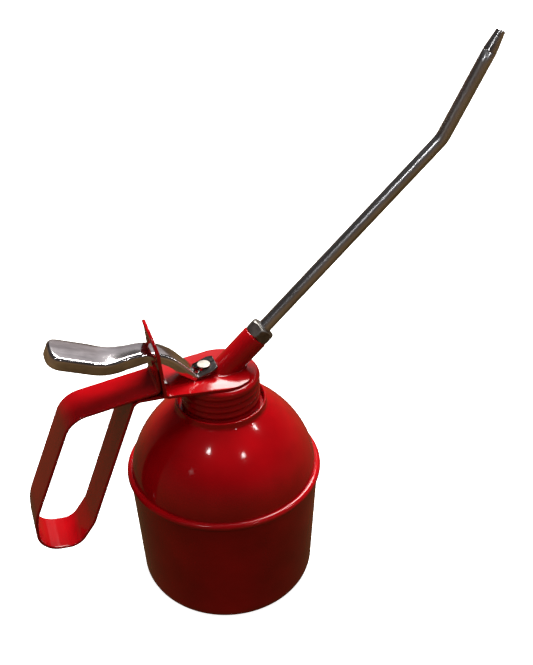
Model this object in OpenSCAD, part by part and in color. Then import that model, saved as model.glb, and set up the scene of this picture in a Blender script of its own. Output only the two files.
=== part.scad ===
// Pump oil can: a drawn steel can with a screwed pump head, a strap handle,
// a thumb lever and a long swivelling spout.
// The origin is the centre of the can's base, +Z is up, the spout reaches
// towards +X and the handle lies towards -X.

/* [Can] */
// Radius over the rolled seam, the widest part of the can
seam_r = 50; // [46:0.5:56]
// Radius of the rolled seam's bead
bead_r = 2; // [1.5:0.1:2.4]
// Height of the seam's middle above the base
seam_z = 71.2; // [66:0.2:75]
// Outer radius of the cup just under the seam
cup_top_r = 48.6; // [48:0.1:49]
// Outer radius of the cup where the bottom corner starts
cup_base_r = 45.6; // [44:0.1:47]
// Radius of the rounded bottom corner
corner_r = 10.4; // [7:0.2:13]
// Thickness of the can's sheet
sheet = 0.8; // [0.6:0.1:1]
// Height of the dome's full curve above the seam
dome_rise = 47; // [44:0.5:50]
// Squareness of the dome's curve, 2 is an ellipse
dome_power = 1.75; // [1.65:0.05:2]

/* [Neck and cap] */
// Outer radius of the turned-up collar round the neck
collar_r = 22.6; // [22:0.1:24]
// Height of the collar's top above the base
collar_top = 113.8; // [113:0.1:114.5]
// Height of the cap's top above the base
cap_top = 129; // [128:0.2:131]
// Radius of the cap over its thread ridges
cap_r = 19.6; // [19.4:0.1:20]
// Spacing of the thread ridges
thread_pitch = 3.6; // [3:0.1:4]

/* [Bracket and handle] */
// Thickness of the bracket plate
plate_t = 1.5; // [1.2:0.1:1.6]
// Half width of the bracket's upright
upright_half = 13.3; // [12:0.1:14]
// Lean of the upright towards the handle, in degrees
upright_lean = 4.2; // [3:0.1:5]
// Width of the handle strap
strap_w = 21.7; // [18:0.1:24]
// Thickness of the handle strap
strap_t = 1.5; // [1.2:0.1:1.5]

/* [Lever and pump] */
// Thickness of the lever's sheet
lever_t = 1.2; // [1:0.1:1.3]
// Distance of the pump rod's axis from the can's axis
rod_x = 7.9; // [7.8:0.05:8]
// Diameter of the pump rod
rod_d = 4; // [3.6:0.1:4.2]
// Diameter of the round button on top of the pump rod
button_d = 6.3; // [6:0.1:6.4]
// Outer radius of the pump barrel
barrel_r = 5.8; // [5.7:0.05:5.9]

/* [Spout] */
// Angle of the spout's lower run above the horizontal
spout_rise = 43.6; // [40:0.2:46]
// Angle of the bend near the spout's end
spout_bend = 18.7; // [10:0.1:30]
// Length along the axis from the can's middle to the bend
bend_at = 153.4; // [120:0.2:180]
// Length of the tube beyond the bend
upper_run = 43.3; // [30:0.1:60]
// Diameter of the spout tube
tube_d = 6.7; // [6.5:0.1:6.8]
// Diameter of the spout socket
socket_d = 13; // [12.6:0.1:13.4]
// Size of the spout nut across its flats
nut_flats = 12; // [11.6:0.1:12.4]

/* [Hidden] */
$fn = 96;

enamel_red = [0.62, 0.02, 0.03];
bright_steel = [0.8, 0.8, 0.78];
satin_steel = [0.45, 0.44, 0.43];
plain_steel = [0.6, 0.6, 0.6];
brass = [0.78, 0.6, 0.3];
leather = [0.35, 0.2, 0.1];
cork = [0.55, 0.4, 0.25];

eps = 0.01;          // overlap that makes a cut clean
slip = 0.05;         // radial clearance of a running fit

// Heights and radii of the neck, from the inside out
neck_bore = 16.3;
neck_root = 17.1;
neck_crest = 17.6;
cap_bore = 17.9;
neck_floor = 110;
cap_roof = 1.2;
cap_skirt_foot = 111.2;
shoulder_r = 2.4;
gasket_t = 1.4;
neck_top = cap_top - cap_roof - gasket_t;
plate_top = cap_top + plate_t;

// The pump, from the top down
head_r = 16;
head_h = 7.8;
head_top = cap_top - cap_roof;
head_foot = head_top - head_h;
chamber_top = head_top - 3.3;
barrel_bore = 5;
barrel_top = head_foot + 1.5;
barrel_len = 40;
barrel_foot = barrel_top - barrel_len;
packing_r = 2.95;
packing_z = chamber_top + 1;
packing_h = 1.2;
gland_h = 0.6;
valve_h = 12;
valve_z = barrel_foot - valve_h + 5;
ball_r = 1.6;
seat_r = 1.1;
seat_z = valve_z + 4.8;
piston_z = barrel_foot + 9;
piston_h = 5;
seal_h = 2.2;
passage_r = 1.5;
dip_tube_r = 2.5;
dip_foot = 7;

// The lever turns on the slot's lower edge in the upright
pivot_x = -31.5;
pivot_z = 145.9;
edge_r = plate_t / 2;
slot_half = 6.8;
kink_up = 8.6;
tip_up = 11;
tip_lean = 13;
arch_up = 5.1;
slot_top = 153.5;
lever_swing = 28;
lever_half = 6.1;
button_top = 135.4;
button_skin = 0.7;
tongue_end = 12.4;

// Places along the spout's axis
socket_len = 26;
socket_bore_from = 9;
socket_thread_from = 19.8;
socket_thread_r = 4.7;
nut_len = 6;
ferrule_r = 4.5;
ferrule_len = 1.6;
tube_from = 10;
tube_bore = 2.3;
bend_r = 16;
bend_reach = bend_r * tan(spout_bend / 2);
tip_len = 10.2;
tip_r = 2.1;
tip_hole = 0.8;
tip_spigot = 5;

// Points of the arc that rounds corner b of the path a, b, c
function unit(v) = v / norm(v);
function corner(a, b, c, r) =
    let (u = unit(a - b), v = unit(c - b), half = acos(u * v) / 2,
         centre = b + unit(u + v) * r / sin(half),
         from = b + u * r / tan(half) - centre,
         turn = 180 - 2 * half,
         steps = ceil(turn / 8),
         way = sign(u[0] * v[1] - u[1] * v[0]))
    [for (i = [0 : steps])
        let (t = -way * turn * i / steps)
        centre + [from[0] * cos(t) - from[1] * sin(t), from[0] * sin(t) + from[1] * cos(t)]];

// A path of corner points with a radius at each inner corner
function rounded_path(p, r) =
    let (last = len(p) - 1)
    [p[0],
     for (i = [1 : last - 1]) each corner(p[i - 1], p[i], p[i + 1], r[i - 1]),
     p[last]];

// The same path moved sideways by d, to the left of its direction
function beside(path, d) =
    let (last = len(path) - 1)
    [for (i = [0 : last])
        let (along = unit(path[min(i + 1, last)] - path[max(i - 1, 0)]))
        path[i] + d * [-along[1], along[0]]];

function reversed(p) = [for (i = [len(p) - 1 : -1 : 0]) p[i]];
function band(path, t) = concat(beside(path, t / 2), reversed(beside(path, -t / 2)));

// Draws a side view, given in X and Z, at full width about the middle plane
module side_view(width) {
    rotate([90, 0, 0])
        linear_extrude(width, center = true)
            children();
}

module ring(outer, inner, h) {
    difference() {
        cylinder(r = outer, h = h);
        translate([0, 0, -1]) cylinder(r = inner, h = h + 2);
    }
}

module hexagon(flats, h) {
    cylinder(d = flats / cos(30), h = h, $fn = 6);
}

module at_rod(z) {
    translate([-rod_x, 0, z]) children();
}

module along_spout(s = 0) {
    translate([0, 0, cap_top - 1.6])
        rotate([0, 90 - spout_rise, 0])
            translate([0, 0, s])
                children();
}

// Inner drilling that joins the barrel's chamber to the spout socket
module oil_passage() {
    along_spout(-7) cylinder(r = passage_r, h = 30);
}

// ---- The can ----

function cup_wall_r(z) =
    cup_base_r + (cup_top_r - cup_base_r) * (z - corner_r) / (seam_z - bead_r - corner_r);

module cup_profile(inset) {
    foot = inset;
    rim = seam_z - bead_r;
    r = corner_r - inset;
    centre = [cup_base_r - corner_r, corner_r];
    polygon(concat(
        [[0, foot]],
        [for (a = [-90 : 10 : 0]) centre + r * [cos(a), sin(a)]],
        [[cup_wall_r(rim) - inset, rim + inset], [0, rim + inset]]));
}

module reservoir_cup() {
    color(enamel_red)
        rotate_extrude()
            difference() {
                cup_profile(0);
                cup_profile(sheet);
            }
}

dome_r = seam_r - bead_r - 0.6;
function dome_point(t, inset) = [
    (dome_r - inset) * pow(cos(t), 2 / dome_power),
    seam_z + (dome_rise - inset) * pow(sin(t), 2 / dome_power)];

// Angle at which the dome's curve reaches the collar
dome_stop = acos(pow((collar_r - 0.1) / dome_r, dome_power / 2));

module dome_profile() {
    outer = [for (i = [0 : 24]) dome_point(dome_stop * i / 24, 0)];
    inner = [for (i = [24 : -1 : 0]) dome_point(dome_stop * i / 24, sheet)];
    polygon(concat(outer, inner));
}

module reservoir_dome() {
    collar_t = 1.2;
    color(enamel_red)
        rotate_extrude() {
            dome_profile();
            translate([seam_r - bead_r, seam_z]) circle(r = bead_r);
            translate([neck_root, neck_floor - sheet])
                square([collar_r - neck_root, sheet]);
            translate([collar_r - collar_t, neck_floor - sheet])
                square([collar_t, collar_top - collar_t / 2 - neck_floor + sheet]);
            translate([collar_r - collar_t / 2, collar_top - collar_t / 2])
                circle(d = collar_t, $fn = 32);
        }
}

module threaded_neck() {
    foot = neck_floor - 3;
    color(plain_steel)
        rotate_extrude() {
            translate([neck_bore, foot])
                square([neck_root - neck_bore, neck_top - foot]);
            for (i = [0 : 3])
                translate([neck_root, neck_floor + 3.2 + i * thread_pitch])
                    polygon([[-eps, -0.9], [neck_crest - neck_root, -0.2],
                             [neck_crest - neck_root, 0.2], [-eps, 0.9]]);
        }
}

module neck_gasket() {
    color(cork)
        translate([0, 0, neck_top]) ring(cap_bore - 0.1, neck_bore, gasket_t);
}

// ---- The pump head, which unscrews as one ----

ridge_from = cap_skirt_foot;
ridge_to = cap_top - shoulder_r;
function ridge_r(z) = cap_r - 0.35 + 0.35 * cos(360 * (z - cap_top + 5.7) / thread_pitch);

module screw_cap() {
    color(enamel_red)
        difference() {
            rotate_extrude()
                difference() {
                    polygon(concat(
                        [[0, ridge_from]],
                        [for (i = [0 : 48])
                            let (z = ridge_from + (ridge_to - ridge_from) * i / 48)
                            [ridge_r(z), z]],
                        [for (a = [0 : 15 : 90])
                            [cap_r - 0.4 - shoulder_r + shoulder_r * cos(a),
                             ridge_to + shoulder_r * sin(a)]],
                        [[0, cap_top]]));
                    translate([0, ridge_from - 1])
                        square([cap_bore, cap_top - cap_roof - ridge_from + 1]);
                }
            at_rod(cap_top - 3) cylinder(r = packing_r + 0.05, h = 6);
            oil_passage();
        }
}

// Outline of the tongue that lies on the cap, seen from above
module tongue_outline() {
    bow_r = 17.4;
    intersection() {
        union() {
            circle(r = bow_r);
            polygon([[-27.6, -upright_half], [-4, -bow_r + 0.5],
                     [-4, bow_r - 0.5], [-27.6, upright_half]]);
        }
        translate([-40, -20]) square([40 + tongue_end, 40]);
    }
}

bend_in = 2.3;

// Middle line of the upright seen from the side, from the tongue upwards
function upright_path() =
    let (foot_z = cap_top + plate_t / 2,
         foot_x = pivot_x + (pivot_z - foot_z) * tan(upright_lean),
         kink_x = pivot_x - kink_up * tan(upright_lean))
    rounded_path(
        [[-26, foot_z], [foot_x, foot_z], [kink_x, pivot_z + kink_up],
         [kink_x - tip_up * tan(tip_lean), pivot_z + kink_up + tip_up]],
        [bend_in, 12]);

module lever_bracket() {
    color(enamel_red)
        difference() {
            union() {
                translate([0, 0, cap_top]) linear_extrude(plate_t) tongue_outline();
                intersection() {
                    side_view(2 * upright_half) polygon(band(upright_path(), plate_t));
                    upright_outline();
                }
            }
            lever_slot();
            at_rod(cap_top - 1) cylinder(r = packing_r + 0.05, h = 6);
            oil_passage();
        }
}

// Round-headed outline of the upright, seen along X
module upright_outline() {
    translate([-45, 0, 0])
        rotate([90, 0, 90])
            linear_extrude(30) {
                translate([-upright_half, cap_top - 1])
                    square([2 * upright_half, pivot_z + arch_up - cap_top + 1]);
                translate([0, pivot_z + arch_up]) circle(r = upright_half);
            }
}

// The slot's lower edge is half round, because the lever rocks on it
module lever_slot() {
    difference() {
        translate([-45, -slot_half, pivot_z])
            cube([20, 2 * slot_half, slot_top - pivot_z]);
        translate([pivot_x, 0, pivot_z])
            rotate([90, 0, 0])
                cylinder(r = edge_r, h = 4 * slot_half, center = true);
    }
}

// One strip of steel: under the tongue, down, round the bottom, up the back,
// along the top and up against the back of the upright
function strap_path() = rounded_path(
    [[-20, 128.2], [-27.6, 128.2], [-44.8, 128.9], [-71.3, 60.6], [-80, 48.6],
     [-99.6, 50.8], [-98.4, 71.6], [-75.6, 126], [-32.2, 131.9], [-33.1, 144.4]],
    [20, 4.5, 14, 9, 11.5, 30, 14, 2.2]);

module handle_strap() {
    color(enamel_red)
        side_view(strap_w) polygon(band(strap_path(), strap_t));
}

module spout_socket() {
    color(enamel_red)
        intersection() {
            difference() {
                along_spout(-6) cylinder(d = socket_d, h = socket_len + 6);
                oil_passage();
                along_spout(socket_bore_from) cylinder(d = tube_d + 2 * slip, h = 30);
                along_spout(socket_thread_from) cylinder(r = socket_thread_r, h = 30);
                at_rod(plate_top - 1) cylinder(r = packing_r + 0.1, h = 20);
            }
            translate([-20, -20, plate_top]) cube([60, 40, 40]);
        }
}

module pump_head() {
    color(plain_steel)
        difference() {
            translate([0, 0, head_foot]) cylinder(r = head_r, h = head_h);
            at_rod(head_foot - 1) cylinder(r = barrel_r, h = barrel_top - head_foot + 1);
            at_rod(head_foot) cylinder(r = barrel_bore, h = chamber_top - head_foot);
            at_rod(head_foot) cylinder(r = rod_d / 2 + slip, h = head_h + 1);
            at_rod(packing_z) cylinder(r = packing_r + 0.05, h = head_h);
            oil_passage();
        }
}

// A round collar that fits closely, with a slot across it for a driver
module rod_gland_nut() {
    foot = packing_z + packing_h;
    color(bright_steel)
        difference() {
            at_rod(foot) cylinder(r = packing_r, h = plate_top + gland_h - foot);
            at_rod(foot - 1) cylinder(r = rod_d / 2 + slip, h = 12);
            at_rod(plate_top) translate([-0.5, -5, 0]) cube([1, 10, gland_h + 1]);
        }
}

module rod_packing() {
    color(leather)
        at_rod(packing_z) ring(packing_r, rod_d / 2 + slip, packing_h);
}

module pump_barrel() {
    color(brass)
        at_rod(barrel_foot) ring(barrel_r, barrel_bore, barrel_len);
}

module foot_valve_body() {
    color(brass)
        difference() {
            union() {
                at_rod(valve_z + valve_h - 5) cylinder(r = barrel_bore, h = 5);
                at_rod(valve_z) cylinder(r = barrel_r, h = valve_h - 5);
            }
            at_rod(valve_z - 1) cylinder(r = dip_tube_r, h = 4);
            at_rod(valve_z) cylinder(r = seat_r, h = valve_h);
            at_rod(seat_z) cylinder(r = ball_r + 0.6, h = valve_h);
        }
}

module foot_valve_ball() {
    color(bright_steel)
        at_rod(seat_z + sqrt(pow(ball_r, 2) - pow(seat_r, 2)) + 0.03) sphere(r = ball_r);
}

module dip_tube() {
    color(plain_steel)
        at_rod(dip_foot + 2) ring(dip_tube_r, dip_tube_r - 0.6, valve_z + 3 - dip_foot - 2);
}

module suction_strainer() {
    h = 6;
    color(brass)
        difference() {
            at_rod(dip_foot) cylinder(r = dip_tube_r + 1.1, h = h);
            at_rod(dip_foot + 2) cylinder(r = dip_tube_r, h = h);
            at_rod(dip_foot + 0.8) cylinder(r = dip_tube_r - 0.4, h = h);
            for (a = [0 : 60 : 300])
                at_rod(dip_foot + 1.5)
                    rotate([90, 0, a]) cylinder(r = 0.5, h = 10, $fn = 24);
        }
}

module pump_return_spring() {
    wire = 0.8;
    coil_r = 3.9;
    turns = 8;
    low = piston_z + piston_h + wire / 2;
    high = chamber_top - wire / 2;
    color(bright_steel)
        at_rod(0)
            for (i = [0 : turns])
                translate([0, 0, low + (high - low) * i / turns])
                    rotate_extrude($fn = 48)
                        translate([coil_r, 0]) circle(d = wire, $fn = 16);
}

// ---- The lever ----

lever_fold = [-11.75, 132.45];
lever_top_points = [[-79.4, 162.3], [-53.5, 151.4], [-28.4, 152.4], lever_fold];
lever_low_points = [[-78, 156.6], [-49, 145.6], [-30.4, 146.4], [-13.8, 130.9]];

function lever_top() = rounded_path(lever_top_points, [22, 26]);
function lever_low() = rounded_path(lever_low_points, [20, 8]);

module lever_plan(inset) {
    wide = 9.4 - inset;
    narrow = lever_half - inset;
    near = rounded_path([[-79.4 + inset, 0], [-79.4 + inset, -wide], [-57, -wide],
                         [-42.5, -narrow], [-6, -narrow]], [5, 12, 12]);
    polygon(concat(near, [for (p = reversed(near)) [p[0], -p[1]]]));
}

// The channel is the outer shape less a smaller one that is open below
module lever_shell() {
    difference() {
        intersection() {
            side_view(30) polygon(concat(lever_top(), reversed(lever_low())));
            translate([0, 0, 120]) linear_extrude(50) lever_plan(0);
        }
        intersection() {
            side_view(30)
                polygon(concat(beside(lever_top(), -lever_t),
                               [[-10, 120], [-40, 120], [-90, 140]]));
            translate([0, 0, 120]) linear_extrude(50) lever_plan(lever_t);
        }
    }
}

// Beyond the fold the web rises again as a flat tab with two cut corners
module lever_tab() {
    tab_end = [-2.3, 135.87];
    cut = [2.1, 1.5];
    along = unit(tab_end - lever_fold);
    under = lever_t * [along[1], -along[0]];
    intersection() {
        side_view(4 * lever_half)
            polygon([[-12.4, 132.4], lever_fold, tab_end, tab_end + under,
                     lever_fold + 2.3 * along + under, [-13.8, 130.9], [-14.2, 131.4]]);
        linear_extrude(200)
            polygon([[-20, -lever_half], [tab_end[0] - cut[0], -lever_half],
                     [tab_end[0], cut[1] - lever_half], [tab_end[0], lever_half - cut[1]],
                     [tab_end[0] - cut[0], lever_half], [-20, lever_half]]);
    }
}

// Room for the upright rod through the tab, over the whole swing of the lever
module rod_slot() {
    room = rod_d / 2 + 0.3;
    forward = 1.2;
    hull() {
        at_rod(126) translate([forward, 0, 0]) cylinder(r = room, h = 12);
        translate([pivot_x, 0, pivot_z])
            rotate([0, lever_swing, 0])
                translate([-rod_x - pivot_x, 0, -13]) cylinder(r = room, h = 14);
    }
}

module lever() {
    color(bright_steel)
        difference() {
            union() {
                lever_shell();
                lever_tab();
            }
            translate([pivot_x, 0, pivot_z])
                rotate([90, 0, 0]) cylinder(r = edge_r + 0.1, h = 30, center = true);
            rod_slot();
        }
}

// ---- The plunger ----

module piston_rod() {
    foot = piston_z - 2.6;
    color(plain_steel)
        at_rod(foot) cylinder(d = rod_d, h = button_top - button_skin - foot);
}

// The tab lifts the rod by this button, whose underside is part of a ball so
// that it bears in the same way however far the tab is tilted
module rod_button() {
    round_r = 4.5;
    round_z = 138.32;
    edge = 0.2;
    function under(r) = round_z - sqrt(pow(round_r, 2) - pow(r, 2));
    color(bright_steel)
        at_rod(0)
            rotate_extrude()
                polygon(concat(
                    [[0, button_top - button_skin], [rod_d / 2, button_top - button_skin]],
                    [for (i = [0 : 8])
                        let (r = rod_d / 2 + (button_d - rod_d) / 2 * i / 8)
                        [r, under(r)]],
                    [[button_d / 2, button_top - edge], [button_d / 2 - edge, button_top],
                     [0, button_top]]));
}

module piston() {
    color(brass)
        difference() {
            at_rod(piston_z) cylinder(r = barrel_bore - slip, h = piston_h);
            at_rod(piston_z - 1) cylinder(d = rod_d, h = piston_h + 2);
            for (a = [0 : 90 : 270])
                at_rod(piston_z - 1)
                    rotate([0, 0, a])
                        translate([3.3, 0, 0]) cylinder(r = 0.6, h = piston_h + 2, $fn = 24);
        }
}

module piston_cup_seal() {
    color(leather)
        at_rod(piston_z - seal_h)
            difference() {
                cylinder(r = barrel_bore - slip, h = seal_h);
                translate([0, 0, -1]) cylinder(r = barrel_bore - 0.9, h = seal_h);
                translate([0, 0, -1]) cylinder(d = rod_d, h = seal_h + 2);
            }
}

module piston_nut() {
    color(plain_steel)
        difference() {
            at_rod(piston_z - 2.9) hexagon(5.8, 1.9);
            at_rod(piston_z - 4) cylinder(d = rod_d, h = 6);
        }
}

// ---- The spout ----

module beyond_bend(s = 0) {
    along_spout(bend_at - bend_reach)
        translate([-bend_r, 0, 0])
            rotate([0, -spout_bend, 0])
                translate([bend_r, 0, s])
                    children();
}

module spout_tube() {
    // The bend is a hair fuller than the runs, and its ends close over theirs.
    fuller = 0.02;
    lap = 1;
    color(satin_steel) {
        along_spout(tube_from)
            ring(tube_d / 2, tube_bore, bend_at - tube_from - bend_reach);
        along_spout(bend_at - bend_reach)
            translate([-bend_r, 0, 0])
                rotate([90, lap, 0])
                    rotate_extrude(angle = spout_bend + 2 * lap)
                        translate([bend_r, 0])
                            difference() {
                                circle(r = tube_d / 2 + fuller);
                                circle(r = tube_bore - fuller);
                            }
        beyond_bend() ring(tube_d / 2, tube_bore, upper_run - bend_reach);
    }
}

module spout_tip() {
    round_r = 0.6;
    color(satin_steel)
        beyond_bend(upper_run - bend_reach)
            rotate_extrude()
                difference() {
                    union() {
                        polygon([[0, 0], [tube_d / 2 - 0.15, 0], [tube_d / 2, 0.4],
                                 [tip_r + 0.1, tip_len - round_r],
                                 [tip_r - round_r + 0.1, tip_len], [0, tip_len]]);
                        translate([0, -tip_spigot]) square([tube_bore, tip_spigot]);
                    }
                    translate([-1, -tip_spigot - 1])
                        square([tip_hole + 1, tip_len + tip_spigot + 2]);
                }
}

module spout_ferrule() {
    color(brass)
        along_spout(socket_thread_from + 0.1) ring(ferrule_r, tube_d / 2, ferrule_len);
}

module spout_nut() {
    spigot_from = socket_thread_from + ferrule_len + 0.4;
    face = 0.5;
    color(satin_steel)
        difference() {
            union() {
                along_spout(spigot_from)
                    cylinder(r = socket_thread_r - slip, h = socket_len - spigot_from + eps);
                along_spout(socket_len) hexagon(nut_flats, nut_len - face);
                along_spout(socket_len) cylinder(d = nut_flats - 0.6, h = nut_len);
            }
            along_spout(spigot_from - 1) cylinder(d = tube_d + 2 * slip, h = 20);
        }
}

reservoir_cup();
reservoir_dome();
threaded_neck();
neck_gasket();
screw_cap();
lever_bracket();
handle_strap();
spout_socket();
pump_head();
rod_gland_nut();
rod_packing();
pump_barrel();
foot_valve_body();
foot_valve_ball();
dip_tube();
suction_strainer();
pump_return_spring();
lever();
piston_rod();
rod_button();
piston();
piston_cup_seal();
piston_nut();
spout_tube();
spout_tip();
spout_ferrule();
spout_nut();
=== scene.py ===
import math

import bmesh
import bpy
from mathutils import Matrix, Vector


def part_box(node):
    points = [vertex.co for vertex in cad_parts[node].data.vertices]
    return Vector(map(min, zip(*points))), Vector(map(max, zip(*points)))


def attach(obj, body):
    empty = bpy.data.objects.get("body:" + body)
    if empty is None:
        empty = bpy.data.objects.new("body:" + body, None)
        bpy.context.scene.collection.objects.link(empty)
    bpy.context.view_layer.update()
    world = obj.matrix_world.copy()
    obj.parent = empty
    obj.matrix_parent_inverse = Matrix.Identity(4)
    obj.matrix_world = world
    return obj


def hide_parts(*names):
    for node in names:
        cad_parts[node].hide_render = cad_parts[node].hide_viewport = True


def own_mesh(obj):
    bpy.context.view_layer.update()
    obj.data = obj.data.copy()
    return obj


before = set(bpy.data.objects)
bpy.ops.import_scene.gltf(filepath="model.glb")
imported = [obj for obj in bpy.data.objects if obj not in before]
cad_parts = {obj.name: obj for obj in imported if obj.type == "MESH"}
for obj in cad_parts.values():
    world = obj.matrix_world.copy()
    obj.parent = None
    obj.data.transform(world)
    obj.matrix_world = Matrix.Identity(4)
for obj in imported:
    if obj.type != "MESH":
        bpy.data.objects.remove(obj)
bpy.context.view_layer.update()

# ---- The cup ----
# The lower half of the can is drawn from one disc of sheet steel, tapers a
# little towards the base and has a wide rounded corner. It is sprayed red and
# stoved, so it is glossy with a fine orange-peel ripple.

MM = 0.001
TURN = 2 * math.pi
SEAM_Z = 71.2
CUP_TOP_R = 48.6
CUP_BASE_R = 45.6
CUP_CORNER_R = 10.4
CAN_SHEET = 0.8
BASE_RECESS = 1.0
RECESS_R = 30.0
FOOT_R = 33.0
CUP_RIM_DROP = 2.0
LATHE_STEPS = 192

ENAMEL = (0.46, 0.0022, 0.0055, 1)
ENAMEL_DEEP = (0.30, 0.0012, 0.0030, 1)
ENAMEL_EDGE = (0.16, 0.0030, 0.0020, 1)


def arc(centre, radius, start, end, steps):
    """Points on an arc, in degrees, both ends included."""
    angles = [math.radians(start + (end - start) * i / steps) for i in range(steps + 1)]
    return [(centre[0] + radius * math.cos(a), centre[1] + radius * math.sin(a)) for a in angles]


def make_piece(name, points, faces, unrolled=None, place=None, smooth=35):
    """A mesh object from points in millimetres. Its unrolled coordinates are kept for the grain."""
    mesh = bpy.data.meshes.new(name)
    place = place or Matrix.Identity(4)
    mesh.from_pydata([(place @ Vector(p)) * MM for p in points], [], faces)
    run = mesh.attributes.new("run", "FLOAT_VECTOR", "POINT")
    flat = [c * MM for p in (unrolled or points) for c in p]
    run.data.foreach_set("vector", flat)
    made = bmesh.new()
    made.from_mesh(mesh)
    bmesh.ops.recalc_face_normals(made, faces=made.faces)
    made.to_mesh(mesh)
    made.free()
    mesh.validate()
    mesh.shade_smooth()
    mesh.set_sharp_from_angle(angle=math.radians(smooth))
    item = bpy.data.objects.new(name, mesh)
    bpy.context.scene.collection.objects.link(item)
    return item


def fit(item, body, slot, material, *nodes):
    """Gives a piece its finish, its body and the CAD nodes that it stands for."""
    item.data.materials.clear()
    item.data.materials.append(material)
    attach(item, body)
    if nodes:
        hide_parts(*nodes)
    return item


def lathe(name, profile, steps=LATHE_STEPS, ripple=None, place=None, smooth=35):
    """Turns a closed profile of (radius, height) round Z. Ripple adds to the radius."""
    points, rings = [], []
    for r, z in profile:
        if r < 1e-6:
            points.append((0, 0, z))
            rings.append([len(points) - 1])
            continue
        first = len(points)
        for i in range(steps):
            a = TURN * i / steps
            full = r + (ripple(a, r, z) if ripple else 0)
            points.append((full * math.cos(a), full * math.sin(a), z))
        rings.append(list(range(first, first + steps)))
    faces = []
    for one, two in zip(rings, rings[1:] + rings[:1]):
        if len(one) == 1 and len(two) == 1:
            continue
        for i in range(steps):
            j = (i + 1) % steps
            if len(one) == 1:
                faces.append((one[0], two[i], two[j]))
            elif len(two) == 1:
                faces.append((one[i], two[0], one[j]))
            else:
                faces.append((one[i], two[i], two[j], one[j]))
    return make_piece(name, points, faces, place=place, smooth=smooth)


def add(tree, kind, inputs=None, **settings):
    """A shader node. An input given as a socket is linked, anything else is set."""
    made = tree.nodes.new(kind)
    for key, value in settings.items():
        setattr(made, key, value)
    for key, value in (inputs or {}).items():
        if isinstance(value, bpy.types.NodeSocket):
            tree.links.new(value, made.inputs[key])
        else:
            made.inputs[key].default_value = value
    return made


def sums(tree, operation, a, b=0.0, clamp=False):
    made = add(tree, "ShaderNodeMath", {0: a, 1: b}, operation=operation, use_clamp=clamp)
    return made.outputs[0]


def spread(tree, value, low, high, to_low=0.0, to_high=1.0):
    return add(tree, "ShaderNodeMapRange",
               {"Value": value, "From Min": low, "From Max": high,
                "To Min": to_low, "To Max": to_high}).outputs[0]


def blend_colour(tree, factor, a, b, how="MIX"):
    mix = add(tree, "ShaderNodeMix", data_type="RGBA", blend_type=how)
    for socket, value in (("Factor_Float", factor), ("A_Color", a), ("B_Color", b)):
        target = next(s for s in mix.inputs if s.identifier == socket)
        if isinstance(value, bpy.types.NodeSocket):
            tree.links.new(value, target)
        else:
            target.default_value = value
    return next(s for s in mix.outputs if s.identifier == "Result_Color")


def new_effect(name, inputs, outputs):
    """An empty node group with named inputs and outputs."""
    tree = bpy.data.node_groups.new(name, "ShaderNodeTree")
    for label, kind, value in inputs:
        socket = tree.interface.new_socket(name=label, in_out="INPUT", socket_type=kind)
        if value is not None:
            socket.default_value = value
    for label, kind in outputs:
        tree.interface.new_socket(name=label, in_out="OUTPUT", socket_type=kind)
    return tree, tree.nodes.new("NodeGroupInput"), tree.nodes.new("NodeGroupOutput")


FLOAT, VECTOR = "NodeSocketFloat", "NodeSocketVector"

# Where an edge turns within the given radius, as a mask
edge_line, given, gives = new_effect(
    "edge_line", [("Radius", FLOAT, 0.0006), ("Gain", FLOAT, 6.0)], [("Mask", FLOAT)])
rounded = add(edge_line, "ShaderNodeBevel", {"Radius": given.outputs["Radius"]}, samples=4)
shape = add(edge_line, "ShaderNodeNewGeometry")
facing = add(edge_line, "ShaderNodeVectorMath", operation="DOT_PRODUCT")
edge_line.links.new(rounded.outputs[0], facing.inputs[0])
edge_line.links.new(shape.outputs["Normal"], facing.inputs[1])
turned = sums(edge_line, "SUBTRACT", 1.0, facing.outputs["Value"])
mask = sums(edge_line, "MULTIPLY", turned, given.outputs["Gain"], clamp=True)
edge_line.links.new(mask, gives.inputs["Mask"])

# Slow patches, fine grain and rubbed spots, for any surface
uneven, given, gives = new_effect(
    "uneven_surface",
    [("Coords", VECTOR, None), ("Patch Size", FLOAT, 30.0), ("Grain Size", FLOAT, 600.0)],
    [("Patches", FLOAT), ("Grain", FLOAT), ("Rubbed", FLOAT)])
patches = add(uneven, "ShaderNodeTexNoise",
              {"Vector": given.outputs["Coords"], "Scale": given.outputs["Patch Size"],
               "Detail": 3.0, "Roughness": 0.55})
grain = add(uneven, "ShaderNodeTexNoise",
            {"Vector": given.outputs["Coords"], "Scale": given.outputs["Grain Size"],
             "Detail": 2.0, "Roughness": 0.5})
rubbing = add(uneven, "ShaderNodeTexNoise",
              {"Vector": given.outputs["Coords"], "Scale": 1400.0, "Detail": 5.0, "Roughness": 0.7})
rubbed = sums(uneven, "MULTIPLY", spread(uneven, rubbing.outputs[0], 0.6, 0.72),
              spread(uneven, patches.outputs[0], 0.45, 0.65))
uneven.links.new(patches.outputs[0], gives.inputs["Patches"])
uneven.links.new(grain.outputs[0], gives.inputs["Grain"])
uneven.links.new(rubbed, gives.inputs["Rubbed"])


def blank_material(name, **plain):
    """A material with its shader's own plain values set."""
    made = bpy.data.materials.new(name)
    made.use_nodes = True
    tree = made.node_tree
    shader = tree.nodes["Principled BSDF"]
    for key, value in plain.items():
        shader.inputs[key.replace("_", " ")].default_value = value
    return made, tree, shader


def place_effect(tree, effect, **inputs):
    made = tree.nodes.new("ShaderNodeGroup")
    made.node_tree = effect
    for key, value in inputs.items():
        socket = made.inputs[key.replace("_", " ")]
        if isinstance(value, bpy.types.NodeSocket):
            tree.links.new(value, socket)
        else:
            socket.default_value = value
    return made


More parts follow.
